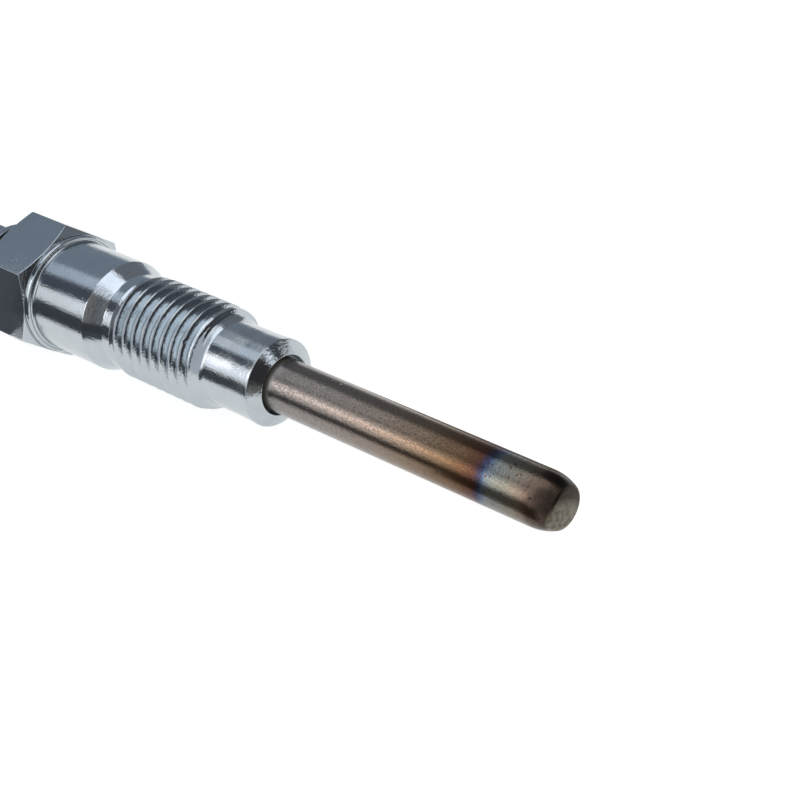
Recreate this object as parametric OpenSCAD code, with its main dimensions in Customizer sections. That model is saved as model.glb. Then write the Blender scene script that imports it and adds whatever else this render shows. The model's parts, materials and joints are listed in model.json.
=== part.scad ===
// Diesel glow plug with a sheathed heating rod, an M10 x 1.25 body and an M4 terminal. Sizes in millimetres.
// The plug lies along X with its heating tip toward +X, +Z is up and one flat of the hexagon faces down.
// The origin is on the axis, at the rim of the nose where the sealing cone begins.

/* [Body thread] */
// Outside diameter of the body thread
thread_d = 10; // [9:0.5:12]
// Distance from one thread crest to the next
thread_pitch = 1.25; // [1:0.25:1.5]
// Number of full thread crests
thread_crests = 8; // [5:1:12]
// Length of the plain neck behind the thread
neck_len = 2; // [1:0.1:5]

/* [Body] */
// Length of the plain nose in front of the thread
nose_len = 6.3; // [4:0.1:12]
// Full angle of the sealing cone
seat_angle = 120; // [100:1:130]
// Length of the cone between neck and shank
cone_len = 1.8; // [1:0.1:4]
// Length of the shank behind the cone
shank_len = 7.3; // [3:0.1:15]
// Length of the round collar in front of the hexagon
collar_len = 0.6; // [0.6:0.1:3]
// Hexagon size across the flats
hex_af = 12; // [11:0.5:16]
// Length of the hexagon
hex_len = 6.2; // [5:0.1:10]

/* [Heating rod] */
// Outside diameter of the heater tube
tube_d = 5; // [4.5:0.1:5.4]
// Wall thickness of the heater tube
tube_wall = 0.6; // [0.4:0.05:0.7]
// Length of heater tube that stands out past the rim
tube_reach = 32.1; // [28:0.1:40]
// Length of heater tube held inside the body
tube_hold = 12.6; // [8:0.1:16]
// Radius of the arc that draws the tube in at its tip
tip_arc = 5; // [4:0.1:8]
// Length of the drawn-in tip
tip_len = 2.5; // [1.5:0.1:3]

/* [Coils] */
// Wire diameter of the heating coil
heat_wire = 0.4; // [0.25:0.05:0.5]
// Turns of the heating coil
heat_turns = 13; // [6:1:15]
// Distance from turn to turn of the heating coil
heat_pitch = 0.78; // [0.65:0.01:0.9]
// Wire diameter of the control coil
ctrl_wire = 0.45; // [0.3:0.05:0.5]
// Turns of the control coil
ctrl_turns = 12; // [6:1:14]
// Distance from turn to turn of the control coil
ctrl_pitch = 0.84; // [0.7:0.01:0.9]
// Radius of the winding, measured to the middle of the wire
coil_r = 0.95; // [0.8:0.05:1.05]

/* [Electrode and terminal] */
// Diameter of the electrode inside the heater tube
pin_d = 2.6; // [2.4:0.1:2.7]
// Diameter of the electrode inside the body
rod_d = 3.4; // [3:0.1:3.6]
// Outside diameter of the terminal thread
stud_d = 4; // [3.7:0.1:4.5]
// Distance from one crest of the terminal thread to the next
stud_pitch = 0.7; // [0.5:0.1:0.8]
// Length of terminal thread past the nut
stud_out = 4.4; // [2:0.1:12]
// Cord thickness of the sealing ring
ring_cord = 1.7; // [1.2:0.1:2]
// Diameter of the insulating bush outside the body
bush_d = 8; // [7.6:0.1:10]
// Length of the insulating bush outside the body
bush_out = 2.4; // [1:0.1:5]
// Thickness of the terminal washer
washer_t = 0.8; // [0.5:0.1:1.5]
// Outside diameter of the terminal washer
washer_d = 9; // [8:0.1:11]
// Terminal nut size across the flats
nut_af = 7; // [6.5:0.5:10]
// Height of the terminal nut
nut_h = 3.2; // [2:0.1:5]

/* [Fits] */
// Gap around the heater tube at the mouth of the nose, on the radius
mouth_gap = 0.26; // [0.1:0.02:0.5]
// Sliding gap between bush, stud and body, on the radius
slide_gap = 0.05; // [0.02:0.01:0.1]
// Gap between the terminal thread and its nut, on the radius
screw_gap = 0.02; // [0.01:0.01:0.05]

/* [Hidden] */
// Radii of the body, stepped from the thread, and of its collar, stepped from the hexagon
nose_step = 0.97;
rim_step = 0.09;
neck_step = 0.4;
shank_step = 0.4;
collar_step = 0.1;
thread_r = thread_d / 2;
root_r = thread_r - 0.6134 * thread_pitch;
nose_r = thread_r - nose_step;
rim_r = nose_r + rim_step;
neck_r = thread_r - neck_step;
shank_r = thread_r + shank_step;
collar_r = hex_af / 2 - collar_step;
tube_r = tube_d / 2;
tube_in_r = tube_r - tube_wall;
mouth_r = tube_r + mouth_gap;

// Thread form: crest and root flats and the axial width of one 60 degree flank
crest_w = thread_pitch / 8;
flank_w = (thread_r - root_r) * tan(30);
root_w = thread_pitch - crest_w - 2 * flank_w;

// Stations along the body, from the rim back to the rear face
x_lead = -nose_len;
x_crest = x_lead - nose_step - 0.35 * thread_pitch;
x_last = x_crest - (thread_crests - 1) * thread_pitch - crest_w / 2;
x_neck = x_last - neck_step * tan(30);
x_cone = x_neck - neck_len;
x_shank = x_cone - cone_len;
x_collar = x_shank - shank_len;
x_hex = x_collar - collar_len;
x_rear = x_hex - hex_len;
seat_h = (rim_r - mouth_r) / tan(seat_angle / 2);
flare_len = 1.3;
rim_w = 0.3;
collar_edge = 0.25;

// Cutting tools reach this far past the faces that they open
past = 1;

// Bore of the body: mouth, press seat for the tube, room for the electrode, pocket for the sealing ring
mouth_depth = 1.2;
bore_room = 0.4;
spigot_len = 2.3;
bore_r = tube_r + bore_room;
pocket_r = rod_d / 2 + ring_cord;
x_pocket = x_rear + spigot_len + ring_cord;

// Heating rod: inside end of the tube, seal at its rear mouth
tip_wall = 1.1;
tip_dome = 14;
tip_taper = 0.55;
x_tube = -tube_hold;
x_arc = tube_reach - tip_len;
x_inner = tube_reach - tip_wall;
seal_len = 2.5;
seal_lip = 0.8;
x_fill = x_tube + seal_len;

// Coils: ends, bends and lengths, counted back from the inside of the tip
tail = 0.3;
bend_r = 0.35;
draw_len = 1.1;
tip_tail = 0.9;
heat_lead = atan(heat_pitch / (2 * PI * coil_r));
ctrl_lead = atan(ctrl_pitch / (2 * PI * coil_r));
heat_len = 2 * tail + 2 * bend_r * cos(heat_lead) + heat_turns * heat_pitch + draw_len + tip_tail;
ctrl_len = 2 * tail + 2 * bend_r * cos(ctrl_lead) + ctrl_turns * ctrl_pitch;
x_joint = x_inner - heat_len;
x_pin = x_joint - ctrl_len;
turn_steps = 14;
wire_sides = 6;

// Electrode: step from pin to rod, start and end of the terminal thread, radius at which stud and nut mesh
pin_room = 1.2;
pin_cone = 0.5;
stud_back = 0.6;
stud_bevel = 0.5;
bush_edge = 0.3;
mesh_r = stud_d / 2 - 0.3248 * stud_pitch;
x_step = x_tube - seal_lip - pin_room;
x_bush = x_rear + spigot_len;
x_stud = x_bush - stud_back;
x_flange = x_rear - bush_out;
x_washer = x_flange - washer_t;
x_nut = x_washer - nut_h;
x_end = x_nut - stud_out;

// Lays a turned piece, drawn along Z, down along X
module lay() {
    rotate([0, 90, 0]) children();
}

// Round bar of radius r between two stations
module bar(r, x0, x1) {
    translate([0, 0, x0]) cylinder(r = r, h = x1 - x0, $fn = 96);
}

// Half section of a disc of radius r with rounded edges
module soft_disc(r, x0, x1, edge) {
    translate([0, x0]) square([r - edge, x1 - x0]);
    translate([0, x0 + edge]) square([r, x1 - x0 - 2 * edge]);
    translate([r - edge, x0 + edge]) circle(r = edge, $fn = 48);
    translate([r - edge, x1 - edge]) circle(r = edge, $fn = 48);
}

// Hexagon with a flat facing down and both ends turned off at 30 degrees
module hexagon(af, x0, x1) {
    corner_r = af / 2 / cos(30);
    past_r = corner_r + past;
    bevel = (past_r - af / 2) * tan(30);
    intersection() {
        translate([0, 0, x0]) rotate([0, 0, 30]) cylinder(r = corner_r, h = x1 - x0, $fn = 6);
        rotate_extrude($fn = 96) polygon([
            [0, x0],
            [af / 2, x0],
            [past_r, x0 + bevel],
            [past_r, x1 - bevel],
            [af / 2, x1],
            [0, x1]
        ]);
    }
}

// Half section of the body from inside the hexagon to the seat, before the thread is rolled
module body_blank() {
    polygon([
        [0, x_hex - hex_len / 2],
        [shank_r, x_hex - hex_len / 2],
        [shank_r, x_shank],
        [neck_r, x_cone],
        [neck_r, x_neck],
        [thread_r, x_last],
        [thread_r, x_lead - nose_step],
        [nose_r, x_lead],
        [nose_r, -flare_len],
        [rim_r, -rim_w],
        [rim_r, 0],
        [mouth_r, seat_h],
        [0, seat_h]
    ]);
}

// Half section of one thread groove, its root on station x
module groove(x) {
    open_w = root_w / 2 + flank_w + past * tan(30);
    polygon([
        [root_r, x - root_w / 2],
        [root_r, x + root_w / 2],
        [thread_r + past, x + open_w],
        [thread_r + past, x - open_w]
    ]);
}

// Stepped bore of the body, open at both ends
module body_bore() {
    bar(mouth_r, -mouth_depth, seat_h + past);
    bar(tube_r, x_tube, seat_h);
    bar(bore_r, x_rear, x_tube);
    bar(pocket_r, x_rear - past, x_pocket);
}

// One turned and rolled steel piece: hexagon, collar, shank, neck, M10 thread, nose and sealing cone
module housing() {
    color("Gainsboro") lay() difference() {
        union() {
            rotate_extrude($fn = 96) difference() {
                body_blank();
                for (k = [0 : thread_crests - 1])
                    groove(x_crest + (0.5 - k) * thread_pitch);
            }
            rotate_extrude($fn = 96) soft_disc(collar_r, x_hex, x_collar, collar_edge);
            hexagon(hex_af, x_rear, x_hex);
        }
        body_bore();
    }
}

// Half section of the closed tip: an arc drawn in from radius r, under a flat dome
module tip_section(r, arc, x0, x1, dome) {
    intersection() {
        translate([r - arc, x0]) circle(r = arc, $fn = 96);
        translate([0, x1 - dome]) circle(r = dome, $fn = 96);
        translate([0, x0]) square([r, x1 - x0]);
    }
}

// Heat-resisting alloy tube, closed and drawn in at the tip, pressed into the body
module heater_tube() {
    color("RosyBrown") lay() rotate_extrude($fn = 96) difference() {
        union() {
            translate([0, x_tube]) square([tube_r, x_arc - x_tube]);
            tip_section(tube_r, tip_arc, x_arc, tube_reach, tip_dome);
        }
        core_section(x_tube - past);
    }
}

// Half section of the room inside the tube, from station x to the inside of the tip
module core_section(x) {
    polygon([
        [0, x],
        [tube_in_r, x],
        [tube_in_r, x_arc],
        [tube_in_r - tip_taper, x_inner],
        [0, x_inner]
    ]);
}

// Packed insulating powder round the coils and the front of the electrode
module magnesia_core() {
    color("Ivory") lay() difference() {
        rotate_extrude($fn = 96) core_section(x_fill);
        bar(pin_d / 2, x_fill - past, x_pin);
        wire(ctrl_path(), ctrl_wire / 2);
        wire(heat_path(), heat_wire / 2);
    }
}

// Winding unrolled to a flat sheet, as [along the axis, round the axis]:
// a straight tail, a bend, a sloped run, the bend back and a second tail
function unrolled(x0, lead, run, steps) =
    let (
        turn = 90 - lead,
        a = [x0 + tail + bend_r * sin(turn), bend_r * (1 - cos(turn))],
        b = a + run * [sin(lead), cos(lead)],
        c = b + bend_r * [sin(turn), 1 - cos(turn)]
    )
    concat(
        [[x0, 0]],
        [for (h = [0 : turn / 4 : turn - 1]) [x0 + tail + bend_r * sin(h), bend_r * (1 - cos(h))]],
        [for (k = [0 : steps]) a + (b - a) * k / steps],
        [for (h = [turn - turn / 4 : -turn / 4 : 1]) b + bend_r * [sin(turn) - sin(h), cos(h) - cos(turn)]],
        [c, c + [tail, 0]]
    );

// Points of a winding as [radius, angle, station], from the sheet rolled up at the winding radius
function rolled(sheet, start) = [for (q = sheet) [coil_r, start + q[1] / coil_r * 180 / PI, q[0]]];

// Length of wire in a winding, and the angle it ends at
function run_of(turns, lead) = turns * 2 * PI * coil_r / cos(lead);
function swept(turns, lead) = (turns * 2 * PI * coil_r + 2 * bend_r * (1 - sin(lead))) / coil_r * 180 / PI;

// Control coil, from the end of the electrode to the joint
function ctrl_path() =
    rolled(unrolled(x_pin, ctrl_lead, run_of(ctrl_turns, ctrl_lead), ctrl_turns * turn_steps), 0);

// Heating coil, from the joint, then drawn in to the axis and on to the inside of the tip
function heat_path() =
    let (
        start = swept(ctrl_turns, ctrl_lead),
        stop = start + swept(heat_turns, heat_lead),
        x_draw = x_inner - tip_tail - draw_len
    )
    concat(
        rolled(unrolled(x_joint, heat_lead, run_of(heat_turns, heat_lead), heat_turns * turn_steps), start),
        [for (k = [1 : 6]) [coil_r * (1 + cos(30 * k)) / 2, stop, x_draw + draw_len * k / 6]],
        [[0, stop, x_inner]]
    );

// Rolled-up points as plain coordinates along Z
function spot(q) = [q[0] * cos(q[1]), q[0] * sin(q[1]), q[2]];
function unit(v) = v / norm(v);

// Ring of wire points round point i of a path, square to the wire
function wire_ring(path, i, r) =
    let (
        n = len(path) - 1,
        t = i == 0 || i == n ? [0, 0, 1] : unit(spot(path[i + 1]) - spot(path[i - 1])),
        out = [cos(path[i][1]), sin(path[i][1]), 0],
        u = unit(out - (out * t) * t),
        v = cross(t, u)
    )
    [for (k = [0 : wire_sides - 1])
        spot(path[i]) + r * (cos(k * 360 / wire_sides) * u + sin(k * 360 / wire_sides) * v)];

// Wire of radius r swept along a path, with flat ends square to the axis
module wire(path, r) {
    n = len(path);
    m = wire_sides;
    polyhedron(
        points = [for (i = [0 : n - 1], p = wire_ring(path, i, r)) p],
        faces = concat(
            [[for (k = [0 : m - 1]) k]],
            [for (i = [0 : n - 2], k = [0 : m - 1]) [i * m + k, (i + 1) * m + k, (i + 1) * m + (k + 1) % m]],
            [for (i = [0 : n - 2], k = [0 : m - 1]) [i * m + k, (i + 1) * m + (k + 1) % m, i * m + (k + 1) % m]],
            [[for (k = [m - 1 : -1 : 0]) (n - 1) * m + k]]
        )
    );
}

// Heating coil of resistance wire, welded to the inside of the tip
module heating_coil() {
    color("DarkGoldenrod") lay() wire(heat_path(), heat_wire / 2);
}

// Control coil, whose resistance climbs as it warms, between heating coil and electrode
module control_coil() {
    color("Peru") lay() wire(ctrl_path(), ctrl_wire / 2);
}

// Steel electrode: pin inside the tube, rod inside the body, M4 terminal thread at the rear.
// Inside the nut the thread is drawn at the radius where the two threads mesh
module centre_electrode() {
    color("Silver") lay() rotate_extrude($fn = 96) polygon([
        [0, x_end],
        [stud_d / 2 - stud_bevel, x_end],
        [stud_d / 2, x_end + stud_bevel],
        [stud_d / 2, x_nut],
        [mesh_r, x_nut],
        [mesh_r, x_washer],
        [stud_d / 2, x_washer],
        [stud_d / 2, x_stud],
        [rod_d / 2, x_stud + (stud_d - rod_d) / 2],
        [rod_d / 2, x_step - pin_cone],
        [pin_d / 2, x_step],
        [pin_d / 2, x_pin],
        [0, x_pin]
    ]);
}

// Rubber seal in the rear mouth of the heater tube
module tube_seal() {
    color("DarkSlateGray") lay() difference() {
        union() {
            bar(tube_in_r, x_tube, x_fill);
            bar(tube_r - slide_gap, x_tube - seal_lip, x_tube);
        }
        bar(pin_d / 2, x_tube - seal_lip - past, x_fill + past);
    }
}

// Rubber ring that seals the rod in the pocket of the body
module sealing_ring() {
    color("DimGray") lay() translate([0, 0, x_pocket - ring_cord / 2])
        rotate_extrude($fn = 96) translate([rod_d / 2 + ring_cord / 2, 0]) circle(d = ring_cord, $fn = 48);
}

// Flanged moulded bush that keeps the terminal clear of the body
module insulating_bush() {
    color("DimGray") lay() difference() {
        union() {
            rotate_extrude($fn = 96) soft_disc(bush_d / 2, x_flange, x_rear, bush_edge);
            bar(pocket_r - slide_gap, x_rear - bush_out / 2, x_bush);
        }
        bar(stud_d / 2 + slide_gap, x_flange - past, x_bush + past);
    }
}

// Plain washer under the terminal nut
module terminal_washer() {
    color("LightGray") lay() difference() {
        bar(washer_d / 2, x_washer, x_flange);
        bar(stud_d / 2 + 3 * slide_gap, x_washer - past, x_flange + past);
    }
}

// Hexagon nut on the terminal thread
module terminal_nut() {
    color("LightGray") lay() difference() {
        hexagon(nut_af, x_nut, x_washer);
        bar(mesh_r + screw_gap, x_nut - past, x_washer + past);
    }
}

housing();
heater_tube();
magnesia_core();
heating_coil();
control_coil();
centre_electrode();
tube_seal();
sealing_ring();
insulating_bush();
terminal_washer();
terminal_nut();
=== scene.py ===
# %% [markdown]
# # A diesel glow plug on a white sheet
#
# The plug is a bright zinc-plated steel body with an M10 thread, a slender heating rod that has been
# glowed and shows its heat colours, and an M4 terminal at the rear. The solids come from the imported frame.
# This lesson rebuilds the surfaces that the eye reads, mostly as turned outlines and helices, gives each
# one a finish, and sets up a white table with cards round it.

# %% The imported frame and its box
import json

import bpy
import numpy as np
from mathutils import Matrix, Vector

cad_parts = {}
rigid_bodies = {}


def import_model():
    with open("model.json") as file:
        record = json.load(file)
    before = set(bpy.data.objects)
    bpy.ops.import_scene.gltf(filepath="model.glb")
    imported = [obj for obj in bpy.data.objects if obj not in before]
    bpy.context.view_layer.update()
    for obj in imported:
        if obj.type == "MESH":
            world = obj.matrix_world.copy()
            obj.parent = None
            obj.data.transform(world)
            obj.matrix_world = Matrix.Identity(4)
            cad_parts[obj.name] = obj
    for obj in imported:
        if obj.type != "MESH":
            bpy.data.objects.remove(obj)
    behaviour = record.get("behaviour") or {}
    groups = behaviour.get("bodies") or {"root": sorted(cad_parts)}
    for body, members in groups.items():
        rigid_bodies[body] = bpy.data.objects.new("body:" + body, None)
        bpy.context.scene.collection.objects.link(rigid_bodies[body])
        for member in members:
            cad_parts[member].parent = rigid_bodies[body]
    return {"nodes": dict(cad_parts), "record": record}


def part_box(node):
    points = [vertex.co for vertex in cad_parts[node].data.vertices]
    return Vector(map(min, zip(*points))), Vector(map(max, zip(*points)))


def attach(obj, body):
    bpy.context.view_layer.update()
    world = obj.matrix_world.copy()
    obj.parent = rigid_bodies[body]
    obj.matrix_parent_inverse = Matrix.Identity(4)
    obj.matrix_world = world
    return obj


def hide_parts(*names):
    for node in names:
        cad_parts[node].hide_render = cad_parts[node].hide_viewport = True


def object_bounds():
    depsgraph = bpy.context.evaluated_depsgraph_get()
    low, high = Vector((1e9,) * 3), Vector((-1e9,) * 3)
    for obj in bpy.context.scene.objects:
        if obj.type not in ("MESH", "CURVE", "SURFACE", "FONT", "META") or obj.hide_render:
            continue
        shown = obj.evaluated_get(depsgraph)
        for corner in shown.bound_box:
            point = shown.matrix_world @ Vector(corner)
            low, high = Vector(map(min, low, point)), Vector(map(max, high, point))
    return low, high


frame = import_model()
cad_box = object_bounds()
print("nodes in the frame:", ", ".join(sorted(frame["nodes"])))

# %% [markdown]
# ## Sizes
#
# Lengths are in millimetres along the plug's axis: x = 0 is the rim of the nose and the tip points to +x.
# They could all be typed in, but stations that the frame knows are read from it, so that no piece can
# drift away from its solid.

# %% Stations and radii read from the frame
MM = 0.001


def ends(node):
    """First and last x, and outer radius or half width, of a node that lies along the x axis."""
    low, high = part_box(node)
    return low.x / MM, high.x / MM, (high.z - low.z) / 2 / MM


x_rear, x_mouth, hex_half = ends("housing")
x_tube, x_tip, tube_r = ends("heater_tube")
x_end, x_pin, stud_r = ends("centre_electrode")
x_flange, x_bush, bush_r = ends("insulating_bush")
x_washer, _, washer_r = ends("terminal_washer")
x_nut, _, nut_half = ends("terminal_nut")
print(f"body {x_rear:.2f} to {x_mouth:.2f}, tip at {x_tip:.2f}, terminal end at {x_end:.2f} mm")

# %% [markdown]
# ## From grids of points to a mesh
#
# Every surface here is a rectangular grid of points: rows run along an outline and columns run round the
# axis. Blender's Spin and Screw tools could make such forms too, but a grid is plain numbers, so its
# formula can be read. Every cell of the grid becomes two triangles.


# %% Faces of a grid
def grid_faces(rows, cols):
    """Two triangles for every cell of a grid of points that is numbered row by row."""
    corner = (np.arange(rows - 1)[:, None] * cols + np.arange(cols - 1)).ravel()
    cell = corner[:, None] + np.array([0, 1, cols + 1, cols])
    return np.concatenate([cell[:, [0, 1, 2]], cell[:, [0, 2, 3]]])


print("a grid of 3 by 4 points has", len(grid_faces(3, 4)), "triangles")

# %% [markdown]
# One function makes a piece from its grids. It welds the points that fall together, such as a seam or the
# point on the axis, so that the piece is closed, and drops the triangles that the weld left without area.
# Then it hides the solid that the piece is shown in place of, and hangs the piece on the root body.

# %% A piece from its grids
WELD_DIGITS = 4  # decimals of a millimetre to which points have to agree to be welded


def make_piece(name, node, grids, finishes=None, sharp_deg=38):
    """One mesh from grids of points in millimetres, shown in place of a node.

    finishes gives the number of the material of each grid, all 0 when left out. Edges that turn by more than
    sharp_deg stay sharp in the shading.
    """
    points = np.concatenate([g.reshape(-1, 3) for g in grids])
    starts = np.cumsum([0] + [g.shape[0] * g.shape[1] for g in grids])
    parts = [grid_faces(*g.shape[:2]) + start for g, start in zip(grids, starts)]
    faces = np.concatenate(parts)
    finish = np.repeat(finishes or [0] * len(grids), [len(p) for p in parts])
    rounded_off = np.round(points, WELD_DIGITS)
    _, first, merged = np.unique(rounded_off, axis=0, return_index=True, return_inverse=True)
    faces = merged.reshape(-1)[faces]
    whole = (faces != np.roll(faces, 1, axis=1)).all(1)
    mesh = bpy.data.meshes.new(name)
    mesh.from_pydata((points[first] * MM).tolist(), [], faces[whole].tolist())
    mesh.polygons.foreach_set("material_index", finish[whole].astype(np.int32))
    mesh.shade_smooth()
    mesh.set_sharp_from_angle(angle=np.radians(sharp_deg))
    piece = bpy.data.objects.new(name, mesh)
    bpy.context.scene.collection.objects.link(piece)
    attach(piece, "root")
    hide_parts(node)
    print(f"{name}: {len(mesh.polygons)} triangles")
    return piece


print(f"points are welded on a grid of {10**-WELD_DIGITS:.4f} mm")

# %% [markdown]
# ## Turned outlines
#
# Most of the plug was made on a lathe, so its form is an outline spun about the axis. A real edge is never
# quite sharp: the tool's nose and the plating round it, and that thin arc is what catches the light. A
# Bevel modifier would give every edge the same arc, so here the outline is corners with a fillet radius
# each.


# %% Rounded outline
def unit(v):
    """A vector divided by its length."""
    return v / np.linalg.norm(v)


def rounded(corners, steps=7, hold=0.04):
    """Outline through corners (x, r, fillet).

    Each corner gives way to an arc of its fillet radius. Points just before and after the arc, and near both
    ends, keep the shading there from spreading along the straight stretches.
    """
    spots = np.array([c[:2] for c in corners], float)
    line = [spots[:1], spots[:1] + unit(spots[1] - spots[0]) * hold]
    for before, spot, after, (_, _, fillet) in zip(spots, spots[1:], spots[2:], corners[1:-1]):
        if fillet == 0:
            line.append(spot[None])
            continue
        back, on = unit(before - spot), unit(after - spot)
        half = np.arccos(back @ on) / 2
        reach = fillet / np.tan(half)
        centre = spot + unit(back + on) * fillet / np.sin(half)
        start, stop = spot + back * reach - centre, spot + on * reach - centre
        turn = np.pi - 2 * half
        t = np.linspace(0, 1, steps)[:, None]
        arc = centre + (np.sin((1 - t) * turn) * start + np.sin(t * turn) * stop) / np.sin(turn)
        line += [(arc[0] + back * hold)[None], arc, (arc[-1] + on * hold)[None]]
    return np.concatenate(line + [spots[-1:] + unit(spots[-2] - spots[-1]) * hold, spots[-1:]])


print("an outline with one rounded corner has", len(rounded([(0, 1, 0), (1, 1, 0.1), (1, 2, 0)])), "points")

# %% [markdown]
# To spin an outline, every point of it goes round the axis at its own radius. With whole arrays that is
# one row for each point of the outline and one column for each angle. The last column lies on the first,
# and the weld closes the seam.


# %% Spinning
def around(columns):
    """Angles of a full turn, first and last at the same place."""
    return np.linspace(0, 2 * np.pi, columns + 1)


def spun(x, r, angle):
    """Points at radius r about the x axis: y is r times the cosine of the angle and z r times its sine."""
    x, r, angle = np.broadcast_arrays(x, r, angle)
    return np.stack([x, r * np.cos(angle), r * np.sin(angle)], -1)


def turned(outline, columns=180):
    """An outline of (x, r) points spun about the x axis."""
    x, r = np.asarray(outline, float).T
    return spun(x[:, None], r[:, None], around(columns))


print("two points spun:", turned([(0, 1), (1, 1)]).shape[:2], "rows and columns")

# %% [markdown]
# ## Threads
#
# Both threads were rolled: a blank of about the pitch diameter is pressed between dies, so the crest
# stands above the blank and the root sinks below it. A displaced cylinder would need a very fine mesh.
# Here the rows of the grid follow the helix: a row keeps its place in the thread form and climbs one pitch
# per turn, so crest and root stay clean lines at any mesh size.

# %% Helical surface
ROOT_SHARE = 0.6134  # depth of a metric external thread over its pitch
CREST_HALF = 1 / 16  # half the flat of the crest over the pitch
FLANK = np.radians(30)  # each flank leans this much from square to the axis
CORNER_SOFT = 0.08  # the form is averaged over this share of a pitch on either side


def threaded(pitch, crest_r, root_r, crest_at, low, high, rows_per_turn=28, columns=180):
    """A helix of thread between two outlines.

    x climbs one pitch per turn. The radius follows a trapezoid wave of the distance from the crest, averaged
    over a short stretch to round its corners, and is held between the outlines low and high, given as (x, r)
    points. crest_at is the (x, angle) of a point on the crest.
    """
    angle = around(columns)
    first, last = high[0][0], high[-1][0]
    climb = first - pitch + pitch * np.arange(0, (last - first) / pitch + 1, 1 / rows_per_turn)
    x = np.clip(climb[:, None] + pitch * angle / (2 * np.pi), first, last)
    phase = (climb - crest_at[0] + pitch * crest_at[1] / (2 * np.pi)) / pitch
    stretch = np.linspace(-CORNER_SOFT, CORNER_SOFT, 11)
    off = np.abs((phase[:, None] + stretch + 0.5) % 1 - 0.5)
    flank = (crest_r - root_r) * np.tan(FLANK) / pitch
    form = np.interp(off, [CREST_HALF, CREST_HALF + flank], [crest_r, root_r]).mean(1)
    top = np.interp(x, *np.transpose(high))
    bottom = np.minimum(np.interp(x, *np.transpose(low)), top)
    return spun(x, np.clip(form[:, None], bottom, top), angle)


print(f"a thread of 1 mm pitch is {ROOT_SHARE:.2f} mm deep, with a crest {2 * CREST_HALF:.3f} mm wide")

# %% [markdown]
# ## Hexagons
#
# The wrench hexagon is drawn bar and the nut is cold formed, so neither has knife-sharp corners. Both ends
# are turned off at 30 degrees, and the cone leaves a curved shoulder on each flat. Cutting a prism with a
# cone would leave ragged edges, so the grid's columns run round the hexagon and its rows follow the cone.

# %% Hexagon surface
SIXTH = np.pi / 3
BEVEL = np.radians(30)  # angle of the turned ends


def hexagon(half, x0, x1, face_r, soft=0.09, corner=0.14, hold=0.04):
    """Hexagon along x with one flat down.

    The section is six flats at distance half from the axis, joined by arcs of radius corner. From each end
    a cone climbs from the radius face_r at 30 degrees, and it meets the section in an arc of radius soft.
    Points crowd at the ends of each flat, and hold adds a row past the soft arc, so that flats shade evenly.
    """
    flat_half = (half - corner) * np.tan(SIXTH / 2)
    along = flat_half * np.concatenate([[-1, -0.985], np.linspace(-0.93, 0.93, 15), [0.985, 1]])
    bend = np.linspace(0, SIXTH, 8)[1:-1]
    middle = (half - corner) / np.cos(SIXTH / 2) * np.array([np.cos(SIXTH / 2), np.sin(SIXTH / 2)])
    u = np.concatenate([half + 0 * along, middle[0] + corner * np.cos(bend)])
    v = np.concatenate([along, middle[1] + corner * np.sin(bend)])
    side = np.arctan2(v, u) + np.pi / 2 + np.arange(6)[:, None] * SIXTH
    angle = np.append(side.ravel(), side[0, 0] + 2 * np.pi)
    r = np.append(np.tile(np.hypot(u, v), 6), np.hypot(u, v)[0])

    slope = np.tan(BEVEL)
    arc = np.linspace(np.pi / 2 - BEVEL, 0, 7)[:, None]
    start = (r - face_r) * slope + soft * slope
    x = np.concatenate([[0 * r], start - soft * np.sin(arc), [start + hold]])
    radius = np.concatenate([[0 * r + face_r], r - soft * (1 - np.cos(arc)), [r]])
    return spun(np.concatenate([x0 + x, x1 - x[::-1]]), np.concatenate([radius, radius[::-1]]), angle)


print(f"the wrench hexagon is {2 * hex_half:.2f} mm across flats")

# %% [markdown]
# ## The body
#
# One piece of free-cutting steel: wrench hexagon, narrow collar, shank, a neck that clears the thread
# rolls, the M10 x 1.25 thread, and a nose that ends in the 120 degree cone which seals in the cylinder
# head. The bore steps down from the pocket at the rear to the seat where the rod is pressed in. Each
# stretch is a surface of its own that starts where the last one ends, because each gets its own finish.

# %% Body sizes
thread = next(m for m in frame["record"]["mounts"] if m["name"] == "body_thread")
thread_r = thread["dims"]["r_mm"]
pitch = 1.25
root_r = thread_r - ROOT_SHARE * pitch
x_lead = thread["pos_m"][0] / MM + thread["dims"]["length_mm"] / 2  # front end of the full thread
crest_x, near_angle = x_lead - 0.42, np.radians(116)  # where the first crest faces the camera
lead_len, lead_r = 1.0, 4.58
nose_len, nose_r = 5.6, 4.03
flare_len, rim_len, rim_r = 2.4, 0.2, 4.12
neck_r, shank_r = 4.6, 5.4
x_runout, x_cone, x_shank = -17.7, -18.77, -20.57
x_collar, x_hex = -27.87, -28.47
collar_r, face_r = hex_half - 0.1, hex_half - 0.05
mouth_r, mouth_depth, lip = tube_r + 0.26, 1.2, 0.08
bore_r, pocket_r, pocket_len = tube_r + 0.4, 3.4, 4.0
print(f"M{2 * thread_r:.0f} thread, root radius {root_r:.2f}, recess {mouth_r - tube_r:.2f} mm wide")

# %% [markdown]
# The shank is turned: a small radius at every step, and a larger one where the cone meets the neck. The
# collar stands a little below the flats, as the lathe left it.

# %% Hexagon and shank
hex_grid = hexagon(hex_half, x_rear, x_hex, face_r)
shank_grid = turned(rounded([
    (x_hex, face_r, 0),
    (x_hex, collar_r, 0.05),
    (x_collar, collar_r, 0.28),
    (x_collar, shank_r, 0.2),
    (x_shank, shank_r, 0.3),
    (x_cone, neck_r, 0.7),
    (x_runout, neck_r, 0),
]))
print("hexagon and shank:", hex_grid.shape[:2], shank_grid.shape[:2], "rows and columns")

# %% [markdown]
# The rolls let go of the thread over about one turn at the neck, and at the front a turned lead runs it
# down to the nose in a hollow curve. Both are outlines that hold the helix between them, so it fades on
# its own.

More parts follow.
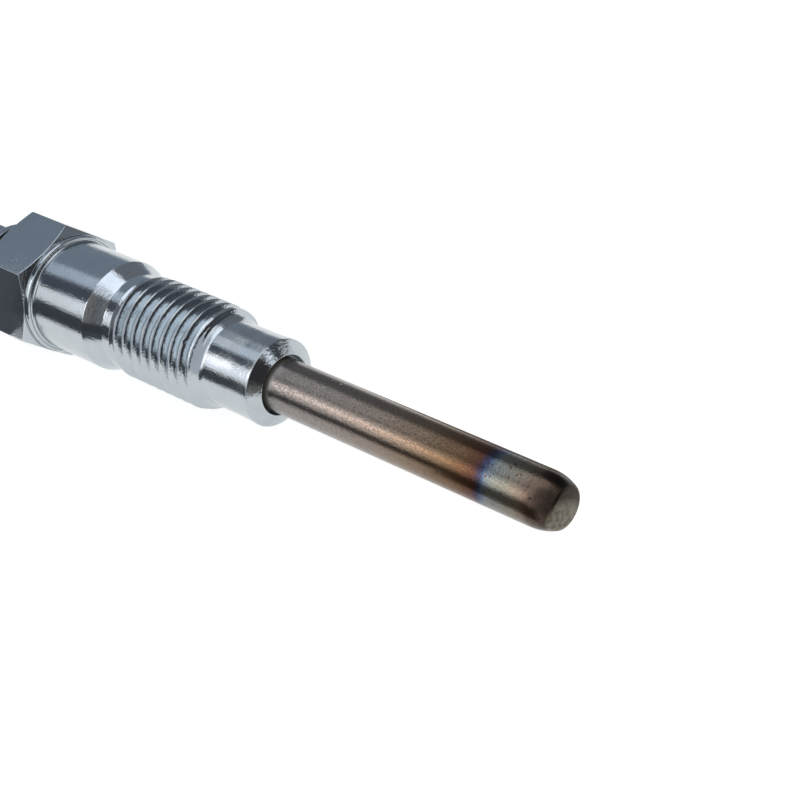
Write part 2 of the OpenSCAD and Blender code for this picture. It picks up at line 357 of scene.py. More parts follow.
# %% Thread
runout_root, runout_crest = 1.3, 1.0  # lengths over which root and crest come in from the neck
chamfer_len, chamfer_back, chamfer_rise = 0.1, 0.16, 0.22  # the turned edge between crest and lead
fade = np.linspace(1, 0, 9)
hollow_power = 1.8
THREAD_COLUMNS = 240
lead = [(-nose_len - lead_len * t, nose_r + (lead_r - nose_r) * t**hollow_power) for t in fade]
thread_grid = threaded(
    pitch, thread_r, root_r, (crest_x, near_angle),
    low=[
        (x_runout, neck_r),
        (x_runout + runout_root, root_r),
        (-nose_len - lead_len, root_r),
        (-nose_len, nose_r),
    ],
    high=[
        (x_runout, neck_r),
        (x_runout + runout_crest, thread_r),
        (x_lead - chamfer_len, thread_r),
        (lead[0][0] - chamfer_back, lead_r + chamfer_rise),
        *lead,
    ],
    columns=THREAD_COLUMNS,
)
print("thread:", thread_grid.shape[:2], "rows and columns")

# %% [markdown]
# Rolling leaves a small burr where the thread starts. It could be modelled by hand. Here it is a bump that
# falls off with the square of the distance from one spot on the first crest, added to the radius of the
# thread's points.

# %% Burr
burr_x, burr_height, burr_size = crest_x + 0.05, 0.12, 0.16
angle = np.arctan2(thread_grid[..., 2], thread_grid[..., 1])
far = np.hypot(thread_grid[..., 0] - burr_x, thread_r * (angle - near_angle))
swell = 1 + burr_height / thread_r * np.exp(-((far / burr_size) ** 2))
thread_grid[..., 1:] *= swell[..., None]
print(f"burr {(swell.max() - 1) * thread_r:.2f} mm high")

# %% [markdown]
# The nose flares a little towards its rim, and the sealing cone in front of the rim is left grainy from
# the tool. Its inner lip rolls over into a narrow recess round the rod. The bore behind is never seen, but
# it closes the body to one shell.

# %% Nose, sealing cone, bore and the whole body
band = 0.15  # share of the cone that the bright finish of the rim runs on to
seat_edge = (band * x_mouth, rim_r + band * (mouth_r - rim_r), 0)
lip_end = (x_mouth - 2 * lip, mouth_r, 0)
nose_grid = turned(rounded([
    (-nose_len, nose_r, 0),
    (-flare_len, nose_r, 12),
    (-rim_len, rim_r, 2),
    (0, rim_r, 0.08),
    seat_edge,
]))
seat_grid = turned(rounded([seat_edge, (x_mouth, mouth_r, lip), lip_end]))
bore_grid = turned(rounded([
    lip_end,
    (-mouth_depth, mouth_r, 0),
    (-mouth_depth, tube_r, 0),
    (x_tube, tube_r, 0),
    (x_tube, bore_r, 0),
    (x_rear + pocket_len, bore_r, 0),
    (x_rear + pocket_len, pocket_r, 0),
    (x_rear, pocket_r, 0.12),
    (x_rear, face_r, 0),
]))
TURNED, DRAWN, ROLLED, SEAT, BORE = range(5)  # numbers of the body's finishes
body = make_piece(
    "plated_body", "housing",
    [hex_grid, shank_grid, thread_grid, nose_grid, seat_grid, bore_grid],
    [DRAWN, TURNED, ROLLED, TURNED, SEAT, BORE])

# %% [markdown]
# ## The heating rod
#
# A tube of heat-resisting nickel alloy, welded shut and swaged down at the tip, then ground. A half sphere
# would look too round: the outline of the tip is an arc tangent to the tube, which runs through a small
# radius into a nearly flat end.

# %% Rod
tip_arc, tip_len, tip_edge = 5.0, 2.5, 0.4
tip_dome, dome_start = 14, 1.2  # radius of the nearly flat end, and how far out it reaches
arc_stop, edge_back = 0.45, 0.12  # distances from the tip at which the arc stops and the edge lies
tube_in_r, tip_wall, hollow_r = tube_r - 0.6, 1.1, 1.35
HIDDEN_COLUMNS = 48  # enough for the inside, which isn't seen
swing = np.linspace(0, np.arcsin((tip_len - arc_stop) / tip_arc), 16)
tip_side = np.stack([x_tip - tip_len + tip_arc * np.sin(swing), tube_r - tip_arc * (1 - np.cos(swing))], -1)
edge_x = x_tip - edge_back
edge_r = tube_r - tip_arc + np.sqrt(tip_arc**2 - (edge_x - x_tip + tip_len) ** 2)
dome_r = np.linspace(dome_start, 0, 8)
dome = np.stack([x_tip - dome_r**2 / (2 * tip_dome), dome_r], -1)
rod_outline = np.concatenate([
    rounded([(x_tube, tube_in_r, 0), (x_tube, tube_r, 0.1), (*tip_side[0], 0)]),
    tip_side[1:],
    rounded([(*tip_side[-1], 0), (edge_x, edge_r, tip_edge), (*dome[0], 0)])[1:],
    dome[1:],
])
x_hollow = x_tip - tip_wall
hollow = [(x_hollow, 0), (x_hollow, hollow_r), (x_tip - tip_len, tube_in_r), (x_tube, tube_in_r)]
rod = make_piece(
    "heating_rod", "heater_tube", [turned(rod_outline), turned(hollow, HIDDEN_COLUMNS)])

# %% [markdown]
# ## The terminal
#
# The rear end of the electrode carries a rolled M4 thread. It is the same helix as the body's at its own
# size. Inside the nut the thread isn't seen, so the pin runs through it at the root radius.

# %% Electrode
stud_pitch = 0.7
stud_root = stud_r - ROOT_SHARE * stud_pitch
point_r, point_len = stud_r - 0.5, 0.5
pin_r, electrode_r = 1.3, 1.7
x_step = x_tube - 2.0
shoulder, taper = 0.3, 0.5
STUD_COLUMNS = 96
electrode = make_piece("terminal_electrode", "centre_electrode", [
    turned([(x_end, 0), (x_end, point_r)], STUD_COLUMNS),
    threaded(
        stud_pitch, stud_r, stud_root, (x_end + 1, 0),
        low=[(x_end, stud_root), (x_nut, stud_root)],
        high=[(x_end, point_r), (x_end + point_len, stud_r), (x_nut, stud_r)],
        rows_per_turn=18, columns=STUD_COLUMNS,
    ),
    turned([
        (x_nut, stud_root),
        (x_washer, stud_root),
        (x_washer, stud_r),
        (x_bush - 2 * shoulder, stud_r),
        (x_bush - shoulder, electrode_r),
        (x_step - taper, electrode_r),
        (x_step, pin_r),
        (x_pin, pin_r),
        (x_pin, 0),
    ], STUD_COLUMNS),
])

# %% [markdown]
# A nut and a washer hold the terminal, and a moulded bush keeps it clear of the body. The nut is a hexagon
# with a countersunk bore. The washer was punched, so one rim is rounder than the other. The bush is a
# flange with a spigot that fills the body's pocket.

# %% Nut, washer and bush
nut_face, nut_bore, countersink = nut_half - 0.12, stud_r - 0.2, 0.3
nut = make_piece("terminal_hexagon_nut", "terminal_nut", [
    hexagon(nut_half, x_nut, x_washer, nut_face, soft=0.08, corner=0.1),
    turned([
        (x_washer, nut_face),
        (x_washer, nut_bore + countersink),
        (x_washer - countersink, nut_bore),
        (x_nut + countersink, nut_bore),
        (x_nut, nut_bore + countersink),
        (x_nut, nut_face),
    ], STUD_COLUMNS),
])
hole_r, half_r = stud_r + 0.15, (stud_r + washer_r) / 2
RING_COLUMNS = 120
washer = make_piece("terminal_plain_washer", "terminal_washer", [turned(rounded([
    (x_washer, half_r, 0),
    (x_washer, washer_r, 0.2),
    (x_flange, washer_r, 0.08),
    (x_flange, hole_r, 0.08),
    (x_washer, hole_r, 0.08),
    (x_washer, half_r, 0),
]), RING_COLUMNS)])
sleeve_r, spigot_r = stud_r + 0.05, pocket_r - 0.05
bush = make_piece("moulded_bush", "insulating_bush", [turned(rounded([
    (x_flange, half_r, 0),
    (x_flange, bush_r, 0.3),
    (x_rear, bush_r, 0.3),
    (x_rear, spigot_r, 0),
    (x_bush, spigot_r, 0.2),
    (x_bush, sleeve_r, 0),
    (x_flange, sleeve_r, 0),
    (x_flange, half_r, 0),
]), RING_COLUMNS)])

# %% [markdown]
# ## Materials
#
# Each finish starts from what the real surface is and how it was made. Colours are picked as sRGB hex
# codes, the way that paint programs show them, while the shader works in linear light, so one function
# turns the one into the other.


# %% Colours
def colour(code):
    """Linear colour of an sRGB hex code."""
    s = np.array([int(code[i : i + 2], 16) for i in (1, 3, 5)]) / 255
    linear = np.where(s <= 0.04045, s / 12.92, ((s + 0.055) / 1.055) ** 2.4)
    return (*(float(c) for c in linear), 1.0)


print("mid grey in linear light:", [round(c, 3) for c in colour("#808080")])

# %% [markdown]
# A finish is a small tree of nodes. One function adds a node with its settings and links. Sockets go by
# number where their names repeat: Map Range takes a value, the range it comes from and the range it goes
# to, and Mix takes a share and, at 6 and 7, two colours, and gives the mixed colour at 2. Patterns read
# Object coordinates scaled to millimetres, so a scale of 1 / 0.1 gives marks about 0.1 mm apart.


# %% Nodes and finishes
def add(tree, kind, inputs=(), out=0, **settings):
    """Adds a node with its settings and gives back the output named or numbered out.

    An input that is a socket is linked, and any other value is set.
    """
    made = tree.nodes.new(kind)
    for key, value in settings.items():
        setattr(made, key, value)
    for key, value in dict(inputs).items():
        if isinstance(value, bpy.types.NodeSocket):
            tree.links.new(value, made.inputs[key])
        else:
            made.inputs[key].default_value = value
    return made.outputs[out] if len(made.outputs) else None


def new_finish(name):
    """An empty material and its tree of nodes."""
    made = bpy.data.materials.new(name)
    made.use_nodes = True
    made.node_tree.nodes.clear()
    return made, made.node_tree


def millimetres(tree):
    """Object coordinates as a vector in millimetres."""
    place = add(tree, "ShaderNodeTexCoord", out="Object")
    return add(tree, "ShaderNodeVectorMath", {0: place, "Scale": 1 / MM}, operation="SCALE")


def dress(piece, *finishes):
    """Gives a piece its materials, in the order of their numbers."""
    piece.data.materials.clear()
    for finish in finishes:
        piece.data.materials.append(finish)


print(f"patterns read Object coordinates times {1 / MM:.0f}")

# %% [markdown]
# ### Bright zinc plating
#
# Electroplated zinc with a clear blue passivation: a cool, fairly bright mirror over the marks of the
# tool. The deposit is slightly grainy, so the edges of reflections break up into specks, and its gloss
# comes and goes. A plain smooth metal would look like chrome, so two fine noises give the height and a
# slow one the gloss. Real crystals and feed marks are finer than a pixel here, and they are drawn coarser
# so that they show.

# %% Zinc
plate_grain_mm = 0.17  # drawn coarser than the real deposit, so that it shows
cloud_mm = 1.6  # patches over which tone and gloss come and go
line_share = 0.25  # height of the tool's lines against the grain
NOISE_LOW, NOISE_HIGH = 0.3, 0.7  # noise mostly stays between these


def zinc(name, marks_mm, light, dark, gloss, height_mm):
    """Zinc over a worked surface.

    marks_mm are the spacings of the tool's lines along x, y and z, gloss the least and the greatest
    roughness, and height_mm the height of the grain.
    """
    made, tree = new_finish(name)
    mm = millimetres(tree)
    lines = add(tree, "ShaderNodeMapping", {"Vector": mm, "Scale": [1 / m for m in marks_mm]})
    lines = add(tree, "ShaderNodeTexNoise", {"Vector": lines, "Scale": 1.0, "Detail": 1.0})
    grain = add(tree, "ShaderNodeTexNoise", {"Vector": mm, "Scale": 1 / plate_grain_mm, "Detail": 1.5})
    cloud = add(tree, "ShaderNodeTexNoise", {"Vector": mm, "Scale": 1 / cloud_mm, "Detail": 2.0})
    height = add(tree, "ShaderNodeMath", {0: lines, 1: line_share, 2: grain}, operation="MULTIPLY_ADD")
    normal = add(tree, "ShaderNodeBump", {"Strength": 1.0, "Distance": height_mm * MM, "Height": height})
    bright, dull = gloss
    rough = add(tree, "ShaderNodeMapRange", {0: cloud, 1: NOISE_LOW, 2: NOISE_HIGH, 3: bright, 4: dull})
    tone = add(tree, "ShaderNodeMix", {0: cloud, 6: colour(light), 7: colour(dark)}, 2, data_type="RGBA")
    shader = add(tree, "ShaderNodeBsdfPrincipled", {
        "Base Color": tone, "Metallic": 1.0, "Roughness": rough, "Normal": normal})
    add(tree, "ShaderNodeOutputMaterial", {"Surface": shader})
    return made


# Turned faces: rings left by the lathe under a bright deposit give sharp bands with frayed edges.
turned_zinc = zinc("bright_zinc_on_turned_steel", (0.12, 5, 5), "#c2cace", "#b3bbc1", (0.07, 0.14), 0.015)
# Drawn flats: lines along the bar and less gloss give calm, even planes.
drawn_zinc = zinc("satin_zinc_on_drawn_bar", (6, 0.2, 0.2), "#b9c0c7", "#abb2ba", (0.15, 0.2), 0.0012)
# Rolled flanks: pressed smooth by the dies. Their paler, cooler tone is painted light, so that the grooves
# glow.
rolled_zinc = zinc("pale_zinc_on_rolled_thread", (0.3, 1, 1), "#cbd7d9", "#bcc8cb", (0.12, 0.2), 0.008)
# Sealing cone: the coarsest grain, which breaks its reflections up into sparks.
seat_zinc = zinc("grainy_zinc_on_sealing_cone", (0.12, 5, 5), "#c2cace", "#a9b1b7", (0.1, 0.2), 0.08)
dress(body, turned_zinc, drawn_zinc, rolled_zinc, seat_zinc)
for piece in (electrode, nut, washer):
    dress(piece, drawn_zinc)
print("on the body so far:", ", ".join(m.name for m in body.data.materials))

# %% [markdown]
# ### Heat-tinted alloy
#
# The rod is ground bright and then glows in use. The oxide film on the alloy grows with heat, and thin
# films show interference colours: straw, bronze, purple, blue, and a second paler order nearer the tip,
# which runs hottest and ends in dark scale. Thin Film in the shader could work the colours out, but their
# order along the rod is known, so a ramp along x gives them as rings round the axis, and slow noise makes
# their borders drift.

# %% Heat colours
tints = [  # x in mm, and the colour of the film there
    (0, "#8b8785"), (8, "#8d8681"), (14, "#8b7f75"), (18, "#827160"), (21, "#74604c"), (22.8, "#694f3c"),
    (24.1, "#5a3d33"), (24.55, "#4a3a44"), (24.95, "#3f4258"), (25.25, "#4f5f78"), (25.6, "#6d777f"),
    (26.2, "#7b7e7a"), (27.4, "#7b7970"), (28.5, "#80776a"), (29.3, "#74655a"), (30.0, "#5d4e43"),
    (30.8, "#50433b"), (31.5, "#3b332e"), (31.95, "#3a322c"),
]
drift_mm, drift_reach = 2.4, 1.4  # size of the slow noise, and how far it moves a border
mottle_mm, mottle_reach = 0.45, 1.1  # the same for the finer noise
mean_shift = (drift_reach + mottle_reach) / 2

alloy, tree = new_finish("heat_tinted_nickel_alloy")
mm = millimetres(tree)
x = add(tree, "ShaderNodeSeparateXYZ", {0: mm})
drift = add(tree, "ShaderNodeTexNoise", {"Vector": mm, "Scale": 1 / drift_mm, "Detail": 3.0})
mottle = add(tree, "ShaderNodeTexNoise", {"Vector": mm, "Scale": 1 / mottle_mm, "Detail": 3.0})
moved = add(tree, "ShaderNodeMath", {0: drift, 1: drift_reach, 2: x}, operation="MULTIPLY_ADD")
moved = add(tree, "ShaderNodeMath", {0: mottle, 1: mottle_reach, 2: moved}, operation="MULTIPLY_ADD")
share = add(tree, "ShaderNodeMapRange", {0: moved, 1: mean_shift, 2: mean_shift + x_tip})
film = add(tree, "ShaderNodeValToRGB", {0: share})
ramp = film.node.color_ramp
for at, _ in tints[1:-1]:
    ramp.elements.new(at / x_tip)
for element, (at, code) in zip(ramp.elements, tints):
    element.position = at / x_tip
    element.color = colour(code)
print(len(ramp.elements), "heat colours along the rod")

# %% [markdown]
# Grinding grit and use leave the film sandy. The real grain is a few hundredths of a millimetre and is
# drawn coarser so that it shows. It scales the colour of the film, and less so past the blue ring, where
# the second film lies smoother. Small brown specks of scale sit on it, with rounder spots on the hottest
# part.

# %% Sandy grain, specks and spots
NOISE_MEAN = 0.5
sand_mm, sand_deep, sand_slight = 0.11, 1.4, 0.6
rod_grain_mm, speck_from, speck_full = 0.15, 0.64, 0.72
spot_mm, spot_core, spot_rim, spot_strength = 0.6, 0.1, 0.26, 0.75
x_blue, x_pale = 24, 25.5
x_spots, x_spots_full = 25, 25.4

sand = add(tree, "ShaderNodeTexNoise", {"Vector": mm, "Scale": 1 / sand_mm, "Detail": 1.0})
sand = add(tree, "ShaderNodeMath", {0: sand, 1: NOISE_MEAN}, operation="SUBTRACT")
depth = add(tree, "ShaderNodeMapRange", {0: x, 1: x_blue, 2: x_pale, 3: sand_deep, 4: sand_slight})
sand = add(tree, "ShaderNodeMath", {0: sand, 1: depth, 2: 1.0}, operation="MULTIPLY_ADD")
film = add(tree, "ShaderNodeVectorMath", {0: film, "Scale": sand}, operation="SCALE")
grain = add(tree, "ShaderNodeTexNoise", {"Vector": mm, "Scale": 1 / rod_grain_mm, "Detail": 2.0})
speck = add(tree, "ShaderNodeMapRange", {0: grain, 1: speck_from, 2: speck_full})
surface = add(tree, "ShaderNodeMix", {0: speck, 6: film, 7: colour("#4d382b")}, 2, data_type="RGBA")
spots = add(tree, "ShaderNodeTexVoronoi", {"Vector": mm, "Scale": 1 / spot_mm}, "Distance")
spots = add(tree, "ShaderNodeMapRange", {0: spots, 1: spot_core, 2: spot_rim, 3: spot_strength, 4: 0.0})
hot = add(tree, "ShaderNodeMapRange", {0: x, 1: x_spots, 2: x_spots_full})
spots = add(tree, "ShaderNodeMath", {0: spots, 1: hot}, operation="MULTIPLY")
surface = add(tree, "ShaderNodeMix", {0: spots, 6: surface, 7: colour("#54402f")}, 2, data_type="RGBA")
print(f"grain {sand_mm} mm, spots about {spot_mm} mm apart")

# %% [markdown]
# The end faces the flame and carries a dull olive scale with darker patches. A slanted plane bounds it,
# with noise on its border, because it doesn't cover the face evenly. At the other end the rod is painted
# darker where it enters the body, as painted shade of the recess, with a ragged border. The scale is oxide
# and not bare metal, and both the scale and the painted shade also take the metal down.

# %% Scale on the end, painted shade at the root
scale_slant = (1, -0.21, -0.17)  # the plane's normal
scale_ragged, scale_from, scale_full = 0.3, x_tip - 0.14, x_tip + 0.1
patch_from, patch_full = 0.42, 0.62
scale_metal_loss = 0.7
# Painted shade at the root: the noise that frays its border, and the x where it is full and where it fades
# out.
root_shade_ragged, root_shade_full, root_shade_gone = 0.4, x_mouth + 0.15, x_mouth + 0.55

across = add(tree, "ShaderNodeVectorMath", {0: mm, 1: scale_slant}, "Value", operation="DOT_PRODUCT")
across = add(tree, "ShaderNodeMath", {0: mottle, 1: scale_ragged, 2: across}, operation="MULTIPLY_ADD")
faced = add(tree, "ShaderNodeMapRange", {0: across, 1: scale_from, 2: scale_full})
patch = add(tree, "ShaderNodeMapRange", {0: mottle, 1: patch_from, 2: patch_full})
olive, brown = colour("#867f6d"), colour("#5f5747")
scale = add(tree, "ShaderNodeMix", {0: patch, 6: olive, 7: brown}, 2, data_type="RGBA")
surface = add(tree, "ShaderNodeMix", {0: faced, 6: surface, 7: scale}, 2, data_type="RGBA")
# Painted shade: the rod is coloured darker near the body's mouth, and it is less metal there.
painted_root_shade = add(tree, "ShaderNodeMath", {0: mottle, 1: root_shade_ragged, 2: x}, operation="MULTIPLY_ADD")
painted_root_shade = add(tree, "ShaderNodeMapRange", {0: painted_root_shade, 1: root_shade_full, 2: root_shade_gone, 3: 1.0, 4: 0.0})
surface = add(tree, "ShaderNodeMix", {0: painted_root_shade, 6: surface, 7: colour("#5a574e")}, 2, data_type="RGBA")
metal = add(tree, "ShaderNodeMath", {0: 1.0, 1: painted_root_shade}, operation="SUBTRACT")
metal = add(tree, "ShaderNodeMath", {0: faced, 1: -scale_metal_loss, 2: metal}, operation="MULTIPLY_ADD")
print(f"scale from x = {scale_from:.2f}, soot up to x = {root_shade_gone:.2f} mm")

# %% [markdown]
# Grinding marks run round the rod, a few pits are burnt into it, and the surface gets duller at the very
# tip. The eye sees a long soft highlight with a fine sparkle. Grinding marks are drawn coarser than real,
# so that they show.

# %% Relief, gloss and shader of the rod
ring_mm, ring_run_mm, ring_share = 0.14, 4, 0.3
pit_mm, pit_core, pit_rim, pit_depth = 1.9, 0.03, 0.09, 3.0
relief_mm = 0.016
rough_rod, rough_tip, rough_in_root_shade = 0.2, 0.42, 0.5
dull_from, dull_full = x_tip - 1, x_tip - 0.1

ring_scale = (1 / ring_mm, 1 / ring_run_mm, 1 / ring_run_mm)
rings = add(tree, "ShaderNodeMapping", {"Vector": mm, "Scale": ring_scale})
rings = add(tree, "ShaderNodeTexNoise", {"Vector": rings, "Scale": 1.0, "Detail": 1.0})
pits = add(tree, "ShaderNodeTexVoronoi", {"Vector": mm, "Scale": 1 / pit_mm}, "Distance")
pits = add(tree, "ShaderNodeMapRange", {0: pits, 1: pit_core, 2: pit_rim, 3: -pit_depth, 4: 0.0})
height = add(tree, "ShaderNodeMath", {0: rings, 1: ring_share, 2: grain}, operation="MULTIPLY_ADD")
height = add(tree, "ShaderNodeMath", {0: height, 1: pits}, operation="ADD")
normal = add(tree, "ShaderNodeBump", {"Strength": 1.0, "Distance": relief_mm * MM, "Height": height})
rough = add(tree, "ShaderNodeMapRange", {0: x, 1: dull_from, 2: dull_full, 3: rough_rod, 4: rough_tip})
# The painted shade at the root is also made rougher.
rough = add(tree, "ShaderNodeMath", {0: painted_root_shade, 1: rough_in_root_shade, 2: rough}, operation="MULTIPLY_ADD")
shader = add(tree, "ShaderNodeBsdfPrincipled", {
    "Base Color": surface, "Metallic": metal, "Roughness": rough, "Normal": normal})
add(tree, "ShaderNodeOutputMaterial", {"Surface": shader})
dress(rod, alloy)
print(f"{alloy.name}: {len(tree.nodes)} nodes")

# %% [markdown]
# ### Deposit in the bore
#
# The recess round the rod is coated with a matte grey deposit, so it reads as a soft dark gap and not as a
# mirror. One noise for tone and height is enough here, and for the other plain finishes too.


# %% Mottled finish and deposit
def speckled(name, light, dark, metallic, rough, size_mm, height_mm):
    """A mottled surface: noise of the given size moves its tone and its height."""
    made, tree = new_finish(name)
    mm = millimetres(tree)
    noise = add(tree, "ShaderNodeTexNoise", {"Vector": mm, "Scale": 1 / size_mm, "Detail": 4.0})
    tone = add(tree, "ShaderNodeMix", {0: noise, 6: colour(light), 7: colour(dark)}, 2, data_type="RGBA")
    normal = add(tree, "ShaderNodeBump", {"Strength": 1.0, "Distance": height_mm * MM, "Height": noise})
    shader = add(tree, "ShaderNodeBsdfPrincipled", {
        "Base Color": tone, "Metallic": metallic, "Roughness": rough, "Normal": normal})
    add(tree, "ShaderNodeOutputMaterial", {"Surface": shader})
    return made


# Combustion deposit: pale grey and quite matte.
deposit = speckled("matte_deposit_in_the_bore", "#a3a39a", "#84847c", 0.0, 0.8, 0.2, 0.01)
body.data.materials.append(deposit)
print("on the body:", ", ".join(m.name for m in body.data.materials))

# %% [markdown]
# ### Moulding, powder, wire and rubber
#
# The bush is a phenolic moulding. The pieces that are sealed inside keep their own solids: packed
# magnesia, two drawn wires and two rubber seals. They only show when the plug is taken apart, so plain
# finishes do.

# %% Plain finishes
# Phenolic moulding: near black and satin, with a faint mottle of its filler.
phenolic = speckled("phenolic_moulding", "#242225", "#141315", 0.0, 0.42, 0.25, 0.004)
# Packed powder: chalky white without gloss. Its grain is drawn coarser than real.
magnesia = speckled("packed_magnesia", "#efece2", "#d6d0c2", 0.0, 0.9, 0.12, 0.02)
# Drawn resistance wire: a yellowish satin metal.
heating_wire = speckled("resistance_wire", "#a89878", "#8b7a5c", 1.0, 0.35, 0.08, 0.002)
# Drawn nickel wire: a warm grey satin metal.
control_wire = speckled("nickel_wire", "#b5a797", "#978877", 1.0, 0.35, 0.08, 0.002)
# Seal rubber: black and dull, with a slight bloom.
rubber = speckled("seal_rubber", "#26262a", "#18181a", 0.0, 0.7, 0.1, 0.004)
dress(bush, phenolic)
sealed_in = {
    "magnesia_core": magnesia, "heating_coil": heating_wire, "control_coil": control_wire,
    "tube_seal": rubber, "sealing_ring": rubber,
}
for node, finish in sealed_in.items():
    dress(frame["nodes"][node], finish)
print("plain finishes on the bush and on", ", ".join(sealed_in))

# %% [markdown]
# ## The camera
#
# The place and the lens were fitted to the outlines of the thread, the nose and the rod in the photograph.
# The view is close, which is why the body tapers towards the back. The three axes of the camera are
# written out, because they are what the fit gives.

# %% Camera
camera_place = (0.1060, -0.05627, 0.11551)  # metres
right, up, back = (0.7464, 0.5924, -0.3028), (-0.3146, 0.7149, 0.6238), (0.5865, -0.3703, 0.7200)
lens = bpy.data.cameras.new("camera")
lens.sensor_width = 36
lens.lens = 84.15
lens.clip_start = 0.01
camera = bpy.data.objects.new("camera", lens)
camera.matrix_world = Matrix.Translation(camera_place) @ Matrix((right, up, back)).transposed().to_4x4()
bpy.context.scene.collection.objects.link(camera)
bpy.context.scene.camera = camera
bpy.context.scene.view_settings.view_transform = "Standard"
print(f"camera {np.linalg.norm(camera_place) / MM:.0f} mm from the rim of the nose")

# %% [markdown]
# ## The table
#
# The sheet is white and runs on past the picture. More lamps would bleach the plug along with it. Instead
# its own glow for camera and mirror rays makes it the plain white of the photograph, without more light on
# the object, and its matte part still takes a soft shadow.

# %% Sheet
seen_glow, mirrored_glow = 0.72, 0.6
sheet_half, floor_z = 2.0, cad_box[0].z  # metres

# Matte white paper: even and bright, without a highlight of its own.
paper, tree = new_finish("white_paper_sheet")
rays = add(tree, "ShaderNodeLightPath").node.outputs
seen, glossy, clear = (rays[f"Is {kind} Ray"] for kind in ("Camera", "Glossy", "Transmission"))
mirrored = add(tree, "ShaderNodeMath", {0: glossy, 1: clear}, operation="MAXIMUM")
glow = add(tree, "ShaderNodeMath", {0: mirrored, 1: mirrored_glow}, operation="MULTIPLY")
glow = add(tree, "ShaderNodeMath", {0: seen, 1: seen_glow, 2: glow}, operation="MULTIPLY_ADD")
lit = add(tree, "ShaderNodeEmission", {"Color": colour("#ffffff"), "Strength": glow})
matte = add(tree, "ShaderNodeBsdfDiffuse", {"Color": colour("#e6e6e6")})
both = add(tree, "ShaderNodeAddShader", {0: lit, 1: matte})
add(tree, "ShaderNodeOutputMaterial", {"Surface": both})

mesh = bpy.data.meshes.new("sheet")
sides = ((-1, -1), (1, -1), (1, 1), (-1, 1))
mesh.from_pydata([(sheet_half * i, sheet_half * j, floor_z) for i, j in sides], [], [(0, 1, 2, 3)])
mesh.materials.append(paper)
table = bpy.data.objects.new("sheet", mesh)
bpy.context.scene.collection.objects.link(table)
print(f"sheet at z = {floor_z / MM:.2f} mm")

# %% [markdown]
# The world is a white tent. It is full white where it is seen or mirrored, so that metal shows the same
# background as the camera, and it lights matte surfaces at a plain level.

# %% World
tent_light = 0.55  # strength for matte surfaces
world = bpy.data.worlds.new("white_tent")
bpy.context.scene.world = world
world.use_nodes = True
tree = world.node_tree
tree.nodes.clear()
matte_ray = add(tree, "ShaderNodeLightPath", out="Is Diffuse Ray")
level = add(tree, "ShaderNodeMath", {0: matte_ray, 1: tent_light - 1, 2: 1.0}, operation="MULTIPLY_ADD")
tent = add(tree, "ShaderNodeBackground", {"Color": colour("#ffffff"), "Strength": level})
add(tree, "ShaderNodeOutputWorld", {"Surface": tent})
print(f"tent: 1 where it is seen or mirrored, {tent_light} as light")

# %% [markdown]
# ## Cards
#
# A mirror only shows what stands round it, so bright metal is shaped with black, grey and white cards.
# Lamps could not draw the dark bands. Each card is a strip along the plug, placed by the angle at which
# the axis sees it: 0 is level on the camera's side, 90 straight up and 180 level on the far side. Cards
# only show in mirrors, and they throw no light on matte surfaces and no shadow.

# %% Card helpers
CLOSE, NEAR, WALL, ROOM, SKY = 12, 30, 40, 100, 250  # distances from the axis in mm
cards = []


def hang(name, corners, shade, strength=1.0):
    """A flat card with four corners in millimetres that glows in its shade and only shows in mirrors."""
    mesh = bpy.data.meshes.new(name)
    mesh.from_pydata((np.array(corners) * MM).tolist(), [], [(0, 1, 2, 3)])
    paint, tree = new_finish(name + "_paint")
    tone = add(tree, "ShaderNodeEmission", {"Color": colour(shade), "Strength": strength})
    add(tree, "ShaderNodeOutputMaterial", {"Surface": tone})
    mesh.materials.append(paint)
    made = bpy.data.objects.new(name, mesh)
    made.visible_camera = made.visible_diffuse = made.visible_shadow = False
    bpy.context.scene.collection.objects.link(made)
    cards.append(made)


def card(name, away, rear, front, shade, strength=1.0):
    """A strip away millimetres from the axis; rear and front give its (x, lowest angle, highest angle)."""
    x = np.array([rear[0], rear[0], front[0], front[0]])
    angle = np.radians([rear[1], rear[2], front[2], front[1]])
    hang(name, np.stack([x, -away * np.cos(angle), away * np.sin(angle)], -1), shade, strength)


print("cards stand at", CLOSE, NEAR, WALL, ROOM, "and", SKY, "mm")

# %% [markdown]
# The camera's side is a dark room. Its lower edge gives the dark line along the lower side of body and
# rod, and what stands overhead gives the second, softer one. Strips of the camera itself show in the cone
# behind the thread.

# %% Dark room and camera
card("dark_by_hexagon", CLOSE + 1, (-90, -27, 30), (-37, -27, 30), "#595b61")
card("dark_room_behind", NEAR, (-110, -10, 28.5), (-26, -2.5, 28), "#494b53")
card("dark_room_beside", ROOM, (-92, -1, 24), (-48, -4, 22), "#504c4a")
card("dark_room_by_thread", NEAR, (-26, -1, 24), (-9, -1, 20), "#50545a")
card("dark_room_by_tip", ROOM, (-48, -5, 22), (-26, -27, 20), "#46423f")
card("dark_room_past_tip", ROOM, (-26, -6, 20), (-8, -3, 20), "#46423f")
card("dark_board_by_tip", CLOSE, (14, -10, 20), (30, -26, 20), "#726e6a")
card("dark_strip_overhead", NEAR, (-75, 41.5, 76), (-23.5, 68, 89), "#555963")
card("dark_line_overhead", SKY, (-212, 74, 85), (-110, 75, 84), "#7c7a7c")
card("photographer_rear", CLOSE, (-22.5, 32, 76.7), (-19.7, 32, 76.7), "#8b8785")
card("photographer_middle", CLOSE, (-19.7, 32, 76.7), (-19.2, 32, 76.7), "#57555a")
card("photographer_front", CLOSE, (-19.2, 32, 76.7), (-17.8, 32, 76.7), "#85868c")
card("photographer_foot", CLOSE, (-22.5, 17.6, 32), (-17.8, 17.6, 32), "#434349")
print("cards so far:", len(cards))

# %% [markdown]
# The far side is a grey wall with a paler sky above it. They give the upper side of the plug its slate
# tone, darker on the flanks of the thread, which mirror the far end of the wall.

